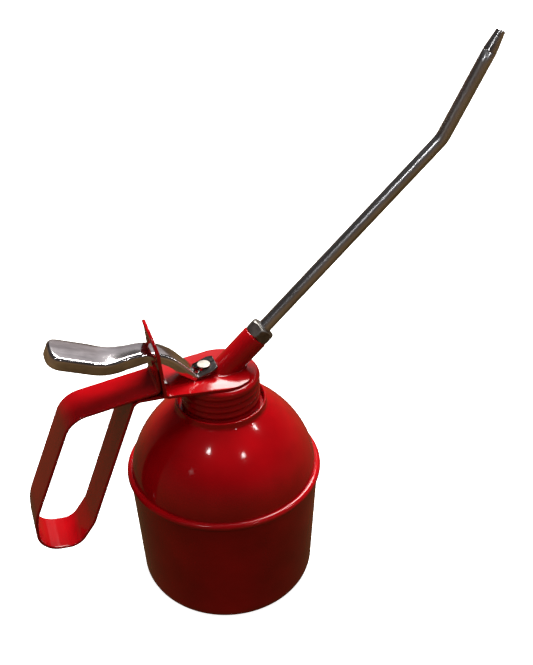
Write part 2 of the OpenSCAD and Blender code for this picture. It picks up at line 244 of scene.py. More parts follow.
def red_enamel(name, ripple=700.0, rubbed=0.15, edge=0.0005):
    """Stoved gloss enamel: ripple is the orange peel's fineness, rubbed how handled it is."""
    made, tree, shader = blank_material(name, Specular_IOR_Level=0.4)
    coords = add(tree, "ShaderNodeTexCoord").outputs["Object"]
    skin = place_effect(tree, uneven, Coords=coords, Patch_Size=26.0, Grain_Size=ripple)
    rim = place_effect(tree, edge_line, Radius=edge, Gain=5.0)
    shade = spread(tree, skin.outputs["Patches"], 0.35, 0.68)
    body = blend_colour(tree, shade, ENAMEL, ENAMEL_DEEP)
    thin = sums(tree, "MULTIPLY", rim.outputs["Mask"], 0.45)
    tree.links.new(blend_colour(tree, thin, body, ENAMEL_EDGE), shader.inputs["Base Color"])
    worn = sums(tree, "MULTIPLY", skin.outputs["Rubbed"], rubbed)
    dull = spread(tree, skin.outputs["Patches"], 0.3, 0.7, 0.085, 0.15)
    tree.links.new(sums(tree, "ADD", dull, worn), shader.inputs["Roughness"])
    bump = add(tree, "ShaderNodeBump",
               {"Strength": 1.0, "Distance": 0.000008, "Height": skin.outputs["Grain"]})
    tree.links.new(bump.outputs[0], shader.inputs["Normal"])
    return made


can_enamel = red_enamel("can_enamel")

corner_middle = (CUP_BASE_R - CUP_CORNER_R, CUP_CORNER_R)
cup_rim_z = SEAM_Z - CUP_RIM_DROP
cup_profile = (
    [(0, BASE_RECESS), (RECESS_R, BASE_RECESS), ((RECESS_R + FOOT_R) / 2, BASE_RECESS * 0.6),
     (FOOT_R, 0)]
    + arc(corner_middle, CUP_CORNER_R, -90, 0, 18)
    + [(CUP_BASE_R + (CUP_TOP_R - CUP_BASE_R) * t / 6,
        CUP_CORNER_R + (cup_rim_z - CUP_CORNER_R) * t / 6) for t in range(1, 7)]
    + [(CUP_TOP_R - CAN_SHEET, cup_rim_z)]
    + arc(corner_middle, CUP_CORNER_R - CAN_SHEET, 0, -90, 12)
    + [(RECESS_R + 1, BASE_RECESS + CAN_SHEET), (0, BASE_RECESS + CAN_SHEET)])
fit(lathe("cup", cup_profile), "reservoir", "red_enamel", can_enamel, "reservoir_cup")

# ---- The dome ----
# The upper half is pressed to a dome with a short turned-up collar, and its
# lower edge is rolled over the cup's rim into one round bead all the way round.

SEAM_R = 50.0
BEAD_R = 2.0
DOME_R = 47.4
DOME_RISE = 47.0
DOME_POWER = 1.75
COLLAR_R = 22.6
COLLAR_TOP = 113.8
COLLAR_SHEET = 1.2
COLLAR_FLARE = 1.1
COLLAR_FOOT_RISE = 1.7
NECK_ROOT_R = 17.1
NECK_FLOOR = 110.0


def dome_point(t, inset=0.0):
    return ((DOME_R - inset) * math.cos(t) ** (2 / DOME_POWER),
            SEAM_Z + (DOME_RISE - inset) * math.sin(t) ** (2 / DOME_POWER))


dome_stop = math.acos(((COLLAR_R + COLLAR_FLARE) / DOME_R) ** (DOME_POWER / 2))
dome_start = math.asin(((BEAD_R + 0.1) / DOME_RISE) ** (DOME_POWER / 2))
dome_curve = [dome_point(dome_start + (dome_stop - dome_start) * i / 48) for i in range(49)]
dome_end = dome_curve[-1]
# A short curve leads from the dome up into the collar
foot = [(COLLAR_R + COLLAR_FLARE * (1 - t) ** 2, dome_end[1] * (1 - t) ** 2
         + 2 * t * (1 - t) * (dome_end[1] + 0.55) + t * t * (dome_end[1] + COLLAR_FOOT_RISE))
        for t in (0.25, 0.5, 0.75, 1)]
rim_middle = (COLLAR_R - COLLAR_SHEET / 2, COLLAR_TOP - COLLAR_SHEET / 2)
dome_profile = (
    arc((SEAM_R - BEAD_R, SEAM_Z), BEAD_R, -72, 108, 20)
    + dome_curve + foot
    + arc(rim_middle, COLLAR_SHEET / 2, 0, 180, 10)
    + [(COLLAR_R - COLLAR_SHEET, NECK_FLOOR + 0.5), (COLLAR_R - COLLAR_SHEET - 0.5, NECK_FLOOR),
       (NECK_ROOT_R, NECK_FLOOR), (NECK_ROOT_R, NECK_FLOOR - CAN_SHEET)]
    + [(COLLAR_R - COLLAR_SHEET, NECK_FLOOR - CAN_SHEET)]
    + [dome_point(dome_stop * (1 - i / 32), 1.3 * CAN_SHEET) for i in range(33)])
fit(lathe("dome", dome_profile), "reservoir", "red_enamel", can_enamel, "reservoir_dome")

# ---- The neck ----
# A short steel sleeve with a rolled thread is soldered into the dome. A cork
# ring lies on its top edge and seals the cap.

NECK_BORE_R = 16.3
NECK_TOP = 126.4
THREAD_PITCH = 3.6
THREAD_DEPTH = 0.5


def bare_metal(name, light, dark, rough=0.3, coords="Object", stretch=(1, 1, 1),
               edge_wear_and_highlight=0.3, grain_size=900.0, depth=0.000006, metallic=1.0):
    """Uncoated metal: tone and gloss vary in patches, grain runs along the stretch."""
    made, tree, shader = blank_material(name, Metallic=metallic)
    if coords == "Object":
        source = add(tree, "ShaderNodeTexCoord").outputs["Object"]
    else:
        source = add(tree, "ShaderNodeAttribute", attribute_name=coords).outputs["Vector"]
    drawn = add(tree, "ShaderNodeMapping", {"Vector": source, "Scale": stretch}).outputs[0]
    skin = place_effect(tree, uneven, Coords=source, Patch_Size=55.0, Grain_Size=900.0)
    lines = place_effect(tree, uneven, Coords=drawn, Patch_Size=grain_size / 4,
                         Grain_Size=grain_size)
    rim = place_effect(tree, edge_line, Radius=0.0005, Gain=7.0)
    tone = sums(tree, "ADD", sums(tree, "MULTIPLY", skin.outputs["Patches"], 0.5),
                sums(tree, "MULTIPLY", lines.outputs["Patches"], 0.5))
    body = blend_colour(tree, spread(tree, tone, 0.36, 0.64), dark, light)
    # Edges are lightened: partly rubbed wear, partly a painted highlight where the edges catch the
    # light
    bright = tuple(min(1, c * 1.5) for c in light[:3]) + (1,)
    rubbed = sums(tree, "MULTIPLY", rim.outputs["Mask"], edge_wear_and_highlight)
    tree.links.new(blend_colour(tree, rubbed, body, bright), shader.inputs["Base Color"])
    gloss = spread(tree, lines.outputs["Patches"], 0.3, 0.7, rough * 0.8, rough * 1.25)
    worn = sums(tree, "MULTIPLY", skin.outputs["Rubbed"], 0.12)
    tree.links.new(sums(tree, "ADD", gloss, worn), shader.inputs["Roughness"])
    bump = add(tree, "ShaderNodeBump",
               {"Strength": 1.0, "Distance": depth, "Height": lines.outputs["Grain"]})
    tree.links.new(bump.outputs[0], shader.inputs["Normal"])
    return made


turned_steel = bare_metal("turned_steel", (0.42, 0.41, 0.40, 1), (0.26, 0.25, 0.24, 1), 0.32)


def thread(angle, z, low, high):
    """Height of the helical thread, fading out at both ends."""
    wave = 0.5 + 0.5 * math.cos(TURN * z / THREAD_PITCH - angle)
    fade = min(1, max(0, (z - low) / 2), max(0, (high - z) / 1.5))
    return wave ** 1.5 * fade


neck_foot = NECK_FLOOR - 3
neck_rows = 60
neck_profile = (
    [(NECK_BORE_R, neck_foot)]
    + [(NECK_ROOT_R, neck_foot + (NECK_TOP - neck_foot) * i / neck_rows)
       for i in range(neck_rows + 1)]
    + [(NECK_BORE_R, NECK_TOP)])
neck = lathe(
    "neck", neck_profile, steps=120, smooth=50,
    ripple=lambda a, r, z: THREAD_DEPTH * thread(a, z, NECK_FLOOR + 1, NECK_TOP) if r > 17 else 0)
fit(neck, "reservoir", "plain_steel", turned_steel, "threaded_neck")


def soft_material(name, light, dark, rough, pores):
    """Cork or leather: two tones in patches, with pores as the bump."""
    made, tree, shader = blank_material(name)
    coords = add(tree, "ShaderNodeTexCoord").outputs["Object"]
    skin = place_effect(tree, uneven, Coords=coords, Patch_Size=220.0, Grain_Size=pores)
    body = blend_colour(tree, spread(tree, skin.outputs["Patches"], 0.35, 0.65), dark, light)
    tree.links.new(body, shader.inputs["Base Color"])
    tree.links.new(spread(tree, skin.outputs["Grain"], 0.3, 0.7, rough - 0.1, rough + 0.1),
                   shader.inputs["Roughness"])
    bump = add(tree, "ShaderNodeBump",
               {"Strength": 1.0, "Distance": 0.0001, "Height": skin.outputs["Grain"]})
    tree.links.new(bump.outputs[0], shader.inputs["Normal"])
    return made


def finish_node(name, material):
    """A CAD node whose own shape is right gets its finish."""
    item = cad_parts[name]
    item.data.materials.clear()
    item.data.materials.append(material)


cork = soft_material("cork", (0.42, 0.30, 0.18, 1), (0.22, 0.13, 0.07, 1), 0.8, 1500.0)
finish_node("neck_gasket", cork)

# ---- The screw cap ----
# A pressed cap with rolled thread ridges outside, flat on top with a rounded
# shoulder. The pump, bracket, handle and spout are all fixed to it.

CAP_TOP = 129.0
CAP_R = 19.6
CAP_BORE_R = 17.9
CAP_FOOT = 111.2
CAP_ROOF = 1.2
SHOULDER_R = 2.4
RIDGE_DEPTH = 0.7
RIDGE_TOP = CAP_TOP - 5.7
ROD_X = -7.9

cap_enamel = red_enamel("cap_enamel", ripple=800.0, rubbed=0.2, edge=0.0004)


def cap_ridges(angle, r, z):
    """Ridges stand proud of their valleys by the ridge depth, and run as one helix."""
    low, high = CAP_FOOT + 0.6, CAP_TOP - SHOULDER_R
    if r < CAP_R - 0.01 or z > high or z < CAP_FOOT:
        return 0
    wave = 0.5 + 0.5 * math.cos(TURN * (z - RIDGE_TOP) / THREAD_PITCH - angle)
    fade = min(1, max(0, (z - low) / 1.2))
    return -RIDGE_DEPTH * (1 - wave ** 0.8) * fade


def cap_shoulder(angle, r, z):
    """The shoulder starts from the ridges' last height."""
    top = CAP_TOP - SHOULDER_R
    if r > CAP_BORE_R + 0.3 and z <= top:
        return cap_ridges(angle, r, z)
    if r <= CAP_BORE_R + 0.3 or z >= CAP_TOP - 0.01:
        return 0
    return cap_ridges(angle, CAP_R, top) * (1 - (z - top) / SHOULDER_R)


cap_rows = 72
cap_high = CAP_TOP - SHOULDER_R
cap_profile = (
    [(CAP_BORE_R, CAP_FOOT), (CAP_R - 0.5, CAP_FOOT), (CAP_R - 0.12, CAP_FOOT + 0.12)]
    + [(CAP_R, CAP_FOOT + 0.3 + (cap_high - CAP_FOOT - 0.3) * i / cap_rows)
       for i in range(cap_rows + 1)]
    + arc((CAP_R - SHOULDER_R, cap_high), SHOULDER_R, 8, 90, 10)
    + [(0, CAP_TOP), (0, CAP_TOP - CAP_ROOF), (CAP_BORE_R, CAP_TOP - CAP_ROOF)])
cap = lathe("cap", cap_profile, steps=144, ripple=cap_shoulder, smooth=40)


def cut_out(item, tool):
    """Takes the tool's volume away from the item."""
    cut = item.modifiers.new("hole", "BOOLEAN")
    cut.operation, cut.solver, cut.object = "DIFFERENCE", "EXACT", tool
    return settle(item)


def drill(item, radius, place, length):
    """Cuts a round hole along the placed Z axis."""
    tool = lathe("drill", [(0, 0), (radius, 0), (radius, length), (0, length)], 48, place=place)
    cut_out(item, tool)
    bpy.data.objects.remove(tool)


def settle(item, smooth=35):
    """Makes the modifiers' result the piece's own mesh."""
    graph = bpy.context.evaluated_depsgraph_get()
    done = bpy.data.meshes.new_from_object(item.evaluated_get(graph))
    item.modifiers.clear()
    item.data = done
    done.shade_smooth()
    done.set_sharp_from_angle(angle=math.radians(smooth))
    return item


# The spout's axis leaves the middle of the cap at this angle above level, from this height
SPOUT_RISE = math.radians(43.6)
SPOUT_ROOT_Z = CAP_TOP - 1.6
spout_root = (Matrix.Translation((0, 0, SPOUT_ROOT_Z))
              @ Matrix.Rotation(TURN / 4 - SPOUT_RISE, 4, "Y"))
GLAND_R = 2.95
OIL_WAY_R = 1.5
GLAND_FIT = 0.05
drill(cap, GLAND_R + GLAND_FIT, Matrix.Translation((ROD_X, 0, CAP_TOP - 3)), 6)
drill(cap, OIL_WAY_R, spout_root @ Matrix.Translation((0, 0, -7)), 30)
fit(cap, "head", "red_enamel", cap_enamel, "screw_cap")

# ---- The bracket ----
# One strip of plate: the tongue lies welded on the cap, and its tail turns up
# into a round-headed upright with a slot that the lever passes through.

PLATE = 1.5
TONGUE_END = 12.4
TONGUE_BOW_R = 17.4
UPRIGHT_HALF = 13.3
LEAN = math.radians(4.2)
TIP_LEAN = math.radians(13)
PIVOT = (-31.5, 145.9)
SLOT_HALF = 6.8
SLOT_TOP = 153.5
HEAD_Z = 151.0
KINK_RISE = 8.6
TIP_RISE = 11.0
FOOT_BEND_R = 2.3
KINK_BEND_R = 12.0
ARC_STEP = math.radians(3)


def rounded_path(points, radii, step=ARC_STEP):
    """The corner points' path with each inner corner rounded to its radius."""
    out = [Vector(points[0])]
    for a, b, c, r in zip(points, points[1:], points[2:], radii):
        a, b, c = Vector(a), Vector(b), Vector(c)
        u, v = (a - b).normalized(), (c - b).normalized()
        half = u.angle(v) / 2
        centre = b + (u + v).normalized() * r / math.sin(half)
        start = b + u * r / math.tan(half) - centre
        turn = math.pi - 2 * half
        way = -1 if u.x * v.y - u.y * v.x > 0 else 1
        count = max(2, math.ceil(turn / step))
        out += [centre + Matrix.Rotation(way * turn * i / count, 2) @ start
                for i in range(count + 1)]
    return out + [Vector(points[-1])]


class Track:
    """A path in the X-Z plane that can be read by the distance along it."""

    def __init__(self, points):
        self.points = points
        self.marks = [0.0]
        for a, b in zip(points, points[1:]):
            self.marks.append(self.marks[-1] + (b - a).length)
        self.length = self.marks[-1]

    def at(self, s):
        """Point and left-hand normal at distance s, turning smoothly between points."""
        i = 0
        while i < len(self.marks) - 2 and s > self.marks[i + 1]:
            i += 1
        a, b = self.points[i], self.points[i + 1]
        t = (s - self.marks[i]) / (self.marks[i + 1] - self.marks[i])
        before, after = self.direction(i), self.direction(i + 1)
        along = (before * (1 - t) + after * t).normalized()
        return a + (b - a) * t, Vector((-along.y, along.x))

    def direction(self, i):
        last = len(self.points) - 1
        one = (self.points[i] - self.points[max(i - 1, 0)]).normalized() if i else None
        two = (self.points[i + 1] - self.points[i]).normalized() if i < last else None
        return ((one or two) + (two or one)).normalized()

    def reach(self, height):
        """Distance along the track at which it last comes up to a height."""
        for i in range(len(self.points) - 1, 0, -1):
            low, high = self.points[i - 1].y, self.points[i].y
            if low <= height <= high:
                return self.marks[i - 1] + (height - low) / (high - low) * (
                    self.marks[i] - self.marks[i - 1])
        return self.length

    def place(self, s, y, n):
        at, normal = self.at(s)
        return (at.x + normal.x * n, y, at.y + normal.y * n)


bracket_z = CAP_TOP + PLATE / 2
foot_x = PIVOT[0] + (PIVOT[1] - bracket_z) * math.tan(LEAN)
kink = (PIVOT[0] - KINK_RISE * math.tan(LEAN), PIVOT[1] + KINK_RISE)
top = (kink[0] - TIP_RISE * math.tan(TIP_LEAN), kink[1] + TIP_RISE)
bracket_track = Track(rounded_path(
    [(TONGUE_END, bracket_z), (foot_x, bracket_z), kink, top], [FOOT_BEND_R, KINK_BEND_R]))


def sheet_solid(name, outline, holes, cuts, thickness, place, rim, smooth=35):
    """A flat outline with holes, cut across at the given places, thickened, bent and rounded."""
    flat = bmesh.new()
    for loop in [outline] + holes:
        corners = [flat.verts.new((x, y, 0)) for x, y in loop]
        for a, b in zip(corners, corners[1:] + corners[:1]):
            flat.edges.new((a, b))
    bmesh.ops.triangle_fill(flat, use_beauty=True, edges=flat.edges[:])
    bmesh.ops.dissolve_limit(flat, angle_limit=0.01, verts=[], edges=flat.edges[:])
    for x in cuts:
        bmesh.ops.bisect_plane(flat, geom=flat.verts[:] + flat.edges[:] + flat.faces[:],
                               plane_co=(x, 0, 0), plane_no=(1, 0, 0), dist=1e-5)
    flat.verts.ensure_lookup_table()
    flat.verts.index_update()
    count = len(flat.verts)
    spots = [tuple(v.co) for v in flat.verts]
    half = thickness / 2
    unrolled = [(x, y, half) for x, y, _ in spots] + [(x, y, -half) for x, y, _ in spots]
    faces = [[v.index for v in f.verts] for f in flat.faces]
    faces += [[v.index + count for v in reversed(f.verts)] for f in flat.faces]
    for e in flat.edges:
        if len(e.link_faces) == 1:
            a, b = (v.index for v in e.verts)
            faces.append((a, b, b + count, a + count))
    flat.free()
    item = make_piece(name, [place(*p) for p in unrolled], faces, unrolled, smooth=smooth)
    edge = item.modifiers.new("rim", "BEVEL")
    edge.width, edge.segments, edge.limit_method = rim * MM, 3, "ANGLE"
    edge.angle_limit = math.radians(50)
    edge.use_clamp_overlap, edge.harden_normals = True, True
    return settle(item, smooth)


BOW_FROM = -4
TONGUE_HALF = 16.9
TAPER_LEN = 23.6


def tongue_half(x):
    """Half the tongue's width: a round bow in front, then straight sides that taper backward."""
    if x > BOW_FROM:
        return math.sqrt(TONGUE_BOW_R ** 2 - x * x)
    return TONGUE_HALF + (x - BOW_FROM) / TAPER_LEN * (TONGUE_HALF - UPRIGHT_HALF)


slot_low, slot_high = bracket_track.reach(PIVOT[1]), bracket_track.reach(SLOT_TOP)
head_s = bracket_track.reach(HEAD_Z)
head_rise = bracket_track.reach(HEAD_Z + UPRIGHT_HALF - 0.01) - head_s
side = [(TONGUE_END - x, tongue_half(x)) for x in (10.9, 9, 6, 3, 0, -2, -4, -12, -20, -26)]
BEND_END = 46.0
side += [(s, UPRIGHT_HALF) for s in (BEND_END, slot_low, head_s)]
side += [(head_s + head_rise * math.sin(a), UPRIGHT_HALF * math.cos(a))
         for a in [math.radians(6 * i) for i in range(1, 15)]]
bow_end = tongue_half(TONGUE_END)
outline = ([(0, -bow_end + 2.1), (0.6, -bow_end + 0.4)] + [(s, -y) for s, y in side]
           + [(head_s + head_rise, 0)] + side[::-1] + [(0.6, bow_end - 0.4), (0, bow_end - 2.1)])
slot = [(slot_low, -SLOT_HALF), (slot_high - 1, -SLOT_HALF), (slot_high, -SLOT_HALF + 1),
        (slot_high, SLOT_HALF - 1), (slot_high - 1, SLOT_HALF), (slot_low, SLOT_HALF)]
rod_hole = [(TONGUE_END - x, y) for x, y in arc((ROD_X, 0), GLAND_R + GLAND_FIT, 0, 352.5, 47)]
oil_reach = (CAP_TOP + PLATE - SPOUT_ROOT_Z) / math.tan(SPOUT_RISE)
oil_hole = [(TONGUE_END - x, y) for x, y in arc((oil_reach, 0), OIL_WAY_R * 1.3, 0, 345, 23)]
cuts = bracket_track.marks[1:-1]
bracket_enamel = red_enamel("bracket_enamel", ripple=650.0, rubbed=0.3, edge=0.0005)
bracket = sheet_solid("bracket", outline, [slot, rod_hole, oil_hole], cuts, PLATE,
                      bracket_track.place, 0.45)
fit(bracket, "head", "red_enamel", bracket_enamel, "lever_bracket")

# ---- The handle ----
# One strip of thick strap, bent to a long loop. One end is welded under the
# tongue and the other is turned up against the back of the upright.

STRAP_W = 21.7
STRAP_T = 1.5
STRAP_EDGE_R = 0.5
strap_points = [(-20, 128.2), (-27.6, 128.2), (-44.8, 128.9), (-71.3, 60.6), (-80, 48.6),
                (-99.6, 50.8), (-98.4, 71.6), (-75.6, 126), (-32.2, 131.9), (-33.1, 144.4)]
strap_radii = [20, 4.5, 14, 9, 11.5, 30, 14, 2.2]


def ring_round(half_w, half_t, r, steps=4):
    """A rounded rectangle of (across, thickness) points, with a point beside each corner."""
    out = []
    for cy, cn, start in ((half_w - r, half_t - r, 0), (-half_w + r, half_t - r, 90),
                          (-half_w + r, -half_t + r, 180), (half_w - r, -half_t + r, 270)):
        corner = arc((cy, cn), r, start, start + 90, steps)
        beside = [(cy - math.copysign(r, cy), math.copysign(half_t, cn))]
        out += corner + beside if start in (0, 180) else beside + corner
    return out


def stations(track, longest):
    """Distances along a track: its own points, and no step longer than the longest."""
    out = [0.0]
    for a, b in zip(track.marks, track.marks[1:]):
        count = max(1, math.ceil((b - a) / longest))
        out += [a + (b - a) * (i + 1) / count for i in range(count)]
    return out


def sweep(name, track, section, longest=4, smooth=35):
    """Sweeps a closed section of (across, out) points along a track, with closed ends."""
    points, unrolled, faces = [], [], []
    marks = stations(track, longest)
    width = len(section(0))
    for s in marks:
        for y, n in section(s):
            points.append(track.place(s, y, n))
            unrolled.append((s, y, n))
    for i in range(len(marks) - 1):
        for j in range(width):
            k = (j + 1) % width
            faces.append((i * width + j, i * width + k, (i + 1) * width + k, (i + 1) * width + j))
    faces.append(list(range(width)))
    faces.append(list(range((len(marks) - 1) * width, len(marks) * width)))
    return make_piece(name, points, faces, unrolled, smooth=smooth)


strap_enamel = red_enamel("strap_enamel", ripple=600.0, rubbed=0.3, edge=0.0005)
strap = sweep("handle", Track(rounded_path(strap_points, strap_radii)),
              lambda s: ring_round(STRAP_W / 2, STRAP_T / 2, STRAP_EDGE_R))
fit(strap, "head", "red_enamel", strap_enamel, "handle_strap")

# ---- The spout socket ----
# A turned steel stub brazed to the tongue at the spout's angle and painted
# with it. Its mouth is threaded inside for the spout's nut.

SOCKET_R = 6.5
SOCKET_LEN = 26.0
SOCKET_THREAD_R = 4.7
SOCKET_THREAD_FROM = 19.8
SOCKET_EDGE_R = 0.7
TUBE_SEAT = 9.0
TUBE_R = 3.35
TUBE_FIT = 0.05
PLATE_TOP = CAP_TOP + PLATE


def socket_mesh():
    """The stub's foot follows the plate it is brazed to, with a small fillet."""
    steps, points, faces, rows = 96, [], [], []
    fillet = 0.9

    def on_wall(r, i):
        """Where the i-th line along the wall is, and how far along it the plate's top lies."""
        a = TURN * i / steps
        x, y = r * math.cos(a), r * math.sin(a)
        low = (PLATE_TOP - (spout_root @ Vector((x, y, 0))).z) / math.sin(SPOUT_RISE)
        return x, y, low

    outer = [("foot", 0.0), ("foot", 0.12), ("foot", 0.3), ("foot", 0.6), ("foot", 1.0)]
    outer += [("line", t / 5) for t in range(1, 6)]
    for kind, t in outer:
        rows.append([])
        for i in range(steps):
            r = SOCKET_R + (fillet * (1 - math.sqrt(max(0, 1 - (1 - t) ** 2)))
                            if kind == "foot" else 0)
            x, y, low = on_wall(r, i)
            rim = SOCKET_LEN - SOCKET_EDGE_R
            s = low + t * fillet if kind == "foot" else low + fillet + (rim - low - fillet) * t
            rows[-1].append(spout_root @ Vector((x, y, s)))
    mouth = arc((SOCKET_R - SOCKET_EDGE_R, SOCKET_LEN - SOCKET_EDGE_R), SOCKET_EDGE_R, 20, 90, 4)
    mouth += [(SOCKET_THREAD_R + 0.3, SOCKET_LEN), (SOCKET_THREAD_R, SOCKET_LEN - 0.4),
              (SOCKET_THREAD_R, SOCKET_THREAD_FROM), (TUBE_R + TUBE_FIT, SOCKET_THREAD_FROM),
              (TUBE_R + TUBE_FIT, TUBE_SEAT), (OIL_WAY_R, TUBE_SEAT)]
    for r, s in mouth:
        rows.append([spout_root @ Vector((r * math.cos(TURN * i / steps),
                                          r * math.sin(TURN * i / steps), s))
                     for i in range(steps)])
    rows.append([spout_root @ Vector(on_wall(OIL_WAY_R, i)) for i in range(steps)])
    for k, row in enumerate(rows):
        points += [tuple(p) for p in row]
        after = (k + 1) % len(rows)
        for i in range(steps):
            j = (i + 1) % steps
            faces.append((k * steps + i, k * steps + j, after * steps + j, after * steps + i))
    return make_piece("socket", points, faces, smooth=45)


socket = socket_mesh()
drill(socket, GLAND_R + 2 * GLAND_FIT, Matrix.Translation((ROD_X, 0, PLATE_TOP - 1)), 20)
fit(socket, "head", "red_enamel", cap_enamel, "spout_socket")

# ---- The pump inside ----
# A turned steel head under the cap carries the brass barrel, off the middle.
# The foot valve, the suction tube and its strainer hang below the barrel.

pump_brass = bare_metal("pump_brass", (0.62, 0.44, 0.18, 1), (0.42, 0.28, 0.10, 1), 0.3,
                        stretch=(1, 1, 8))
valve_steel = bare_metal("valve_steel", (0.66, 0.65, 0.63, 1), (0.5, 0.49, 0.47, 1), 0.15)
seal_leather = soft_material("seal_leather", (0.24, 0.13, 0.07, 1), (0.12, 0.06, 0.03, 1),
                             0.6, 2200.0)
for node, finish in (("pump_head", turned_steel), ("pump_barrel", pump_brass),
                     ("foot_valve_body", pump_brass), ("suction_strainer", pump_brass),
                     ("dip_tube", turned_steel), ("foot_valve_ball", valve_steel),
                     ("rod_packing", seal_leather)):
    finish_node(node, finish)

# ---- The gland nut ----
# A low round collar with a driver's slot squeezes the packing round the rod.
# It fits closely in the cap and stands just proud of the tongue.

ROD_R = 2.0
gland_steel = bare_metal("gland_steel", (0.60, 0.59, 0.57, 1), (0.42, 0.41, 0.40, 1), 0.25)
finish_node("rod_gland_nut", gland_steel)

# ---- The plunger ----
# A drawn steel rod carries a brass piston, a leather cup and a nut, and a coil
# spring pushes it down again. A pale round button is riveted on its top.

for node, finish in (("piston_rod", valve_steel), ("piston", pump_brass),
                     ("piston_cup_seal", seal_leather), ("piston_nut", turned_steel)):
    finish_node(node, finish)

SPRING_TURNS = 9
SPRING_R = 3.9
WIRE_R = 0.4
spring_low, spring_high = (v.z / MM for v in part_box("pump_return_spring"))
spring_steel = bare_metal("spring_steel", (0.5, 0.49, 0.47, 1), (0.33, 0.32, 0.31, 1), 0.25)


def coil_spring():
    """Round wire wound to a helix, with both ends laid flat."""
    steps, sides = SPRING_TURNS * 28, 12
    points, unrolled, faces = [], [], []
    low, high = spring_low + WIRE_R, spring_high - WIRE_R
    flat = 1 / SPRING_TURNS
    for i in range(steps + 1):
        t = i / steps
        a = TURN * SPRING_TURNS * t
        rise = min(1, max(0, (t - flat * 0.8) / (1 - 1.6 * flat)))
        z = low + (high - low) * rise
        out = Vector((math.cos(a), math.sin(a), 0))
        for j in range(sides):
            b = TURN * j / sides
            ring = out * (SPRING_R + WIRE_R * math.cos(b)) + Vector((0, 0, WIRE_R * math.sin(b)))
            points.append((ROD_X + ring.x, ring.y, z + ring.z))
            unrolled.append((SPRING_R * a, WIRE_R * math.cos(b), WIRE_R * math.sin(b)))
    for i in range(steps):
        for j in range(sides):
            k = (j + 1) % sides
            faces.append((i * sides + j, i * sides + k, (i + 1) * sides + k, (i + 1) * sides + j))
    faces += [list(range(sides)), list(range(steps * sides, (steps + 1) * sides))]
    return make_piece("return_spring", points, faces, unrolled)


spring = fit(coil_spring(), "head", "bright_plate", spring_steel, "pump_return_spring")
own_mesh(spring)

# A turned button: flat on top with a broken edge, its underside part of a ball
BUTTON_R = 3.15
BUTTON_TOP = 135.4
BUTTON_SKIN = 0.7
BUTTON_EDGE_R = 0.25
BUTTON_BALL_R, BUTTON_BALL_Z = 4.5, 138.32
button_steel = bare_metal("button_steel", (0.50, 0.46, 0.41, 1), (0.30, 0.27, 0.24, 1), 0.42,
                          grain_size=1600.0, depth=0.00003, edge_wear_and_highlight=0.2, metallic=0.3)
button_rows = [ROD_R + (BUTTON_R - ROD_R) * i / 8 for i in range(9)]
button_profile = (
    [(0, BUTTON_TOP - BUTTON_SKIN), (ROD_R, BUTTON_TOP - BUTTON_SKIN)]
    + [(r, BUTTON_BALL_Z - math.sqrt(BUTTON_BALL_R ** 2 - r * r)) for r in button_rows]
    + arc((BUTTON_R - BUTTON_EDGE_R, BUTTON_TOP - BUTTON_EDGE_R), BUTTON_EDGE_R, 0, 90, 5)
    + [(1.4, BUTTON_TOP - 0.02), (0, BUTTON_TOP - 0.06)])
button = lathe("button", button_profile, steps=64, place=Matrix.Translation((ROD_X, 0, 0)))
fit(button, "plunger", "pin_face", button_steel, "rod_button")

# ---- The lever ----
# Pressed from one piece of sheet to a channel that is open below, wide and
# closed at the thumb end and narrow at the tail. It is polished and plated.

LEVER_T = 1.2
LEVER_SWING = 28
LEVER_FOLD = (-11.75, 132.45)
lever_track = Track(rounded_path(
    [(-79.4, 162.3), (-53.5, 151.4), (-28.4, 152.4), LEVER_FOLD], [22, 26]))
GRIP_HALF, TAIL_HALF = 9.4, 6.1
END_ROUND = 6.5
END_POWER = 2.6
SHOULDER = 1.7
CROWN = 0.45
lever_plate = bare_metal("lever_plate", (0.88, 0.84, 0.85, 1), (0.46, 0.43, 0.44, 1), 0.14,
                         coords="run", stretch=(0.25, 1, 1), edge_wear_and_highlight=0.2,
                         grain_size=700.0, depth=0.000008)


def ease(t):
    t = min(1, max(0, t))
    return t * t * (3 - 2 * t)


def lever_half(s):
    return GRIP_HALF + (TAIL_HALF - GRIP_HALF) * ease((s - 20) / 20)


